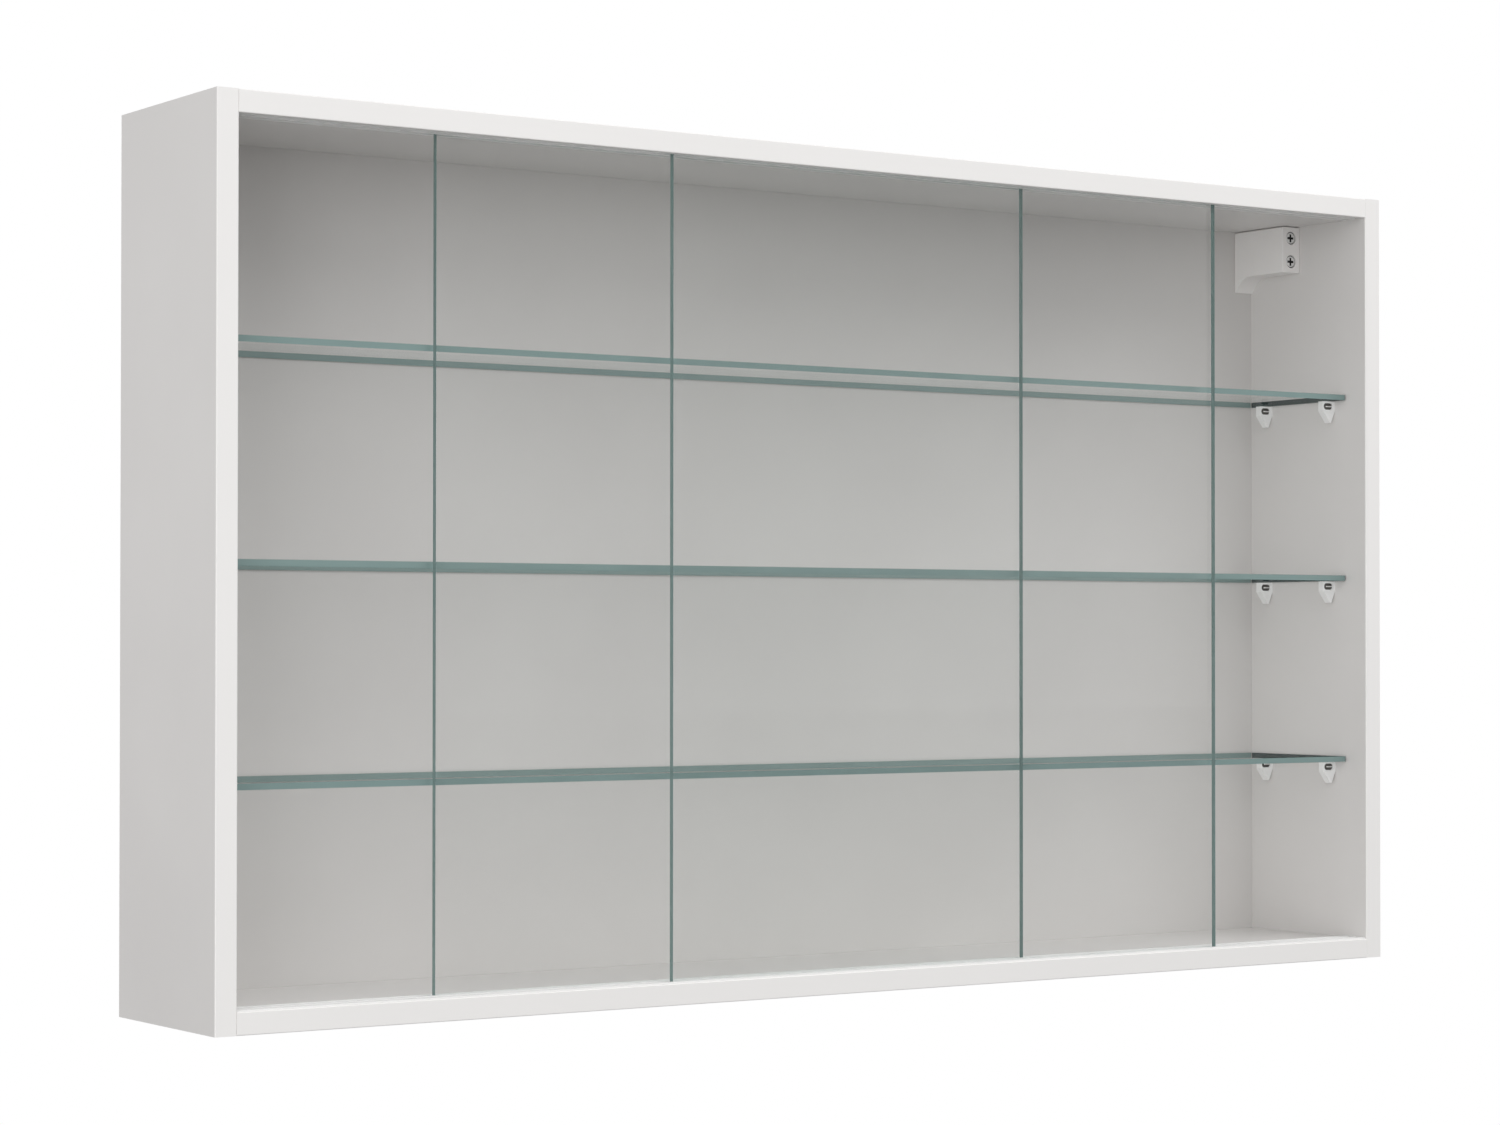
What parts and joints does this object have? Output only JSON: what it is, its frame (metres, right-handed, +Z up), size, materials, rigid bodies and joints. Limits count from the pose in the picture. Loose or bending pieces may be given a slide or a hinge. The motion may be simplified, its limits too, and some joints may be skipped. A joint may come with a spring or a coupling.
{
  "type": "wall mounted display cabinet with sliding glass doors",
  "caption": "Shallow white wall cabinet with sliding glass doors on a double track, glass shelves on pegs, and adjustable hooks that hang it on wall plates.",
  "frame": {"origin": "centre of the wall-plate screw holes, on the wall plane, in the middle of the cabinet's width", "axes": "+Z up, +Y out of the back towards the wall, the open front faces -Y, +X to the right as seen from the front"},
  "size_m": [1, 0.15, 0.6],
  "materials": {
    "white_board": "15 mm particle board faced with white satin melamine",
    "back_board": "3 mm fibreboard faced white",
    "edge_banding": "white ABS edge banding, satin",
    "track_plastic": "white extruded plastic, satin",
    "door_glass": "clear float glass with polished edges",
    "shelf_glass": "clear float glass with polished edges",
    "support_plastic": "moulded white plastic",
    "steel_pin": "nickel-plated steel",
    "dark_steel": "thin spring steel, dark",
    "dowel_wood": "fluted beech, unfinished",
    "hanger_plastic": "moulded white plastic",
    "die_cast_zinc": "die-cast zinc, as cast",
    "screw_steel": "zinc-plated steel",
    "hook_steel": "stamped zinc-plated steel",
    "plate_steel": "pressed galvanised steel"
  },
  "bodies": {
    "root": {"left_side_panel": "white_board", "right_side_panel": "white_board", "top_panel": "white_board", "bottom_panel": "white_board", "back_panel": "back_board", "left_front_edging": "edge_banding", "right_front_edging": "edge_banding", "top_front_edging": "edge_banding", "bottom_front_edging": "edge_banding", "top_door_track": "track_plastic", "bottom_door_track": "track_plastic", "lower_glass_shelf": "shelf_glass", "middle_glass_shelf": "shelf_glass", "upper_glass_shelf": "shelf_glass", "lower_left_front_shelf_support": "support_plastic", "lower_left_rear_shelf_support": "support_plastic", "lower_right_front_shelf_support": "support_plastic", "lower_right_rear_shelf_support": "support_plastic", "middle_left_front_shelf_support": "support_plastic", "middle_left_rear_shelf_support": "support_plastic", "middle_right_front_shelf_support": "support_plastic", "middle_right_rear_shelf_support": "support_plastic", "upper_left_front_shelf_support": "support_plastic", "upper_left_rear_shelf_support": "support_plastic", "upper_right_front_shelf_support": "support_plastic", "upper_right_rear_shelf_support": "support_plastic", "shelf_support_pins": "steel_pin", "support_retaining_plates": "dark_steel", "corner_dowels": "dowel_wood", "left_hanger_housing": "hanger_plastic", "right_hanger_housing": "hanger_plastic"},
    "front_door": {"front_glass_door": "door_glass"},
    "rear_door": {"rear_glass_door": "door_glass"},
    "left_carriage": {"left_hanger_carriage": "die_cast_zinc"},
    "left_wedge": {"left_hanger_wedge": "die_cast_zinc"},
    "left_hook_and_plate": {"left_hook": "hook_steel", "left_wall_plate": "plate_steel"},
    "left_height_adjuster": {"left_height_screw": "screw_steel"},
    "left_depth_adjuster": {"left_depth_screw": "screw_steel"},
    "right_carriage": {"right_hanger_carriage": "die_cast_zinc"},
    "right_wedge": {"right_hanger_wedge": "die_cast_zinc"},
    "right_hook_and_plate": {"right_hook": "hook_steel", "right_wall_plate": "plate_steel"},
    "right_height_adjuster": {"right_height_screw": "screw_steel"},
    "right_depth_adjuster": {"right_depth_screw": "screw_steel"}
  },
  "joints": [
    {"name": "front_door_slide", "type": "slide", "parent": "root", "child": "front_door", "axis": [1, 0, 0], "range_m": [-0.3285, 0.1505]},
    {"name": "rear_door_slide", "type": "slide", "parent": "root", "child": "rear_door", "axis": [1, 0, 0], "range_m": [-0.1495, 0.3295]},
    {"name": "left_depth_screw_turn", "type": "hinge", "parent": "root", "child": "left_depth_adjuster", "pos_m": [-0.4759, -0.073, 0.0365], "axis": [0, -1, 0], "range_deg": [-5, 3605]},
    {"name": "left_depth_slide", "type": "slide", "parent": "root", "child": "left_carriage", "axis": [0, 1, 0], "range_m": [0, 0.01]},
    {"name": "left_height_screw_turn", "type": "hinge", "parent": "left_carriage", "child": "left_height_adjuster", "pos_m": [-0.4759, -0.073, 0.0555], "axis": [0, -1, 0], "range_deg": [-2165, 2165]},
    {"name": "left_wedge_slide", "type": "slide", "parent": "left_carriage", "child": "left_wedge", "axis": [0, 1, 0], "range_m": [-0.00605, 0.00605]},
    {"name": "left_hook_height", "type": "slide", "parent": "left_carriage", "child": "left_hook_and_plate", "axis": [0, 0, 1], "range_m": [-0.006, 0.006]},
    {"name": "right_depth_screw_turn", "type": "hinge", "parent": "root", "child": "right_depth_adjuster", "pos_m": [0.4759, -0.073, 0.0365], "axis": [0, -1, 0], "range_deg": [-5, 3605]},
    {"name": "right_depth_slide", "type": "slide", "parent": "root", "child": "right_carriage", "axis": [0, 1, 0], "range_m": [0, 0.01]},
    {"name": "right_height_screw_turn", "type": "hinge", "parent": "right_carriage", "child": "right_height_adjuster", "pos_m": [0.4759, -0.073, 0.0555], "axis": [0, -1, 0], "range_deg": [-2165, 2165]},
    {"name": "right_wedge_slide", "type": "slide", "parent": "right_carriage", "child": "right_wedge", "axis": [0, 1, 0], "range_m": [-0.00605, 0.00605]},
    {"name": "right_hook_height", "type": "slide", "parent": "right_carriage", "child": "right_hook_and_plate", "axis": [0, 0, 1], "range_m": [-0.006, 0.006]}
  ],
  "couplings": [
    {"joint": "left_depth_screw_turn", "follows": "left_depth_slide", "rad_per_m": 6283.2},
    {"joint": "left_height_screw_turn", "follows": "left_hook_height", "rad_per_m": -6283.2},
    {"joint": "left_wedge_slide", "follows": "left_hook_height", "ratio": -1},
    {"joint": "right_depth_screw_turn", "follows": "right_depth_slide", "rad_per_m": 6283.2},
    {"joint": "right_height_screw_turn", "follows": "right_hook_height", "rad_per_m": -6283.2},
    {"joint": "right_wedge_slide", "follows": "right_hook_height", "ratio": -1}
  ]
}
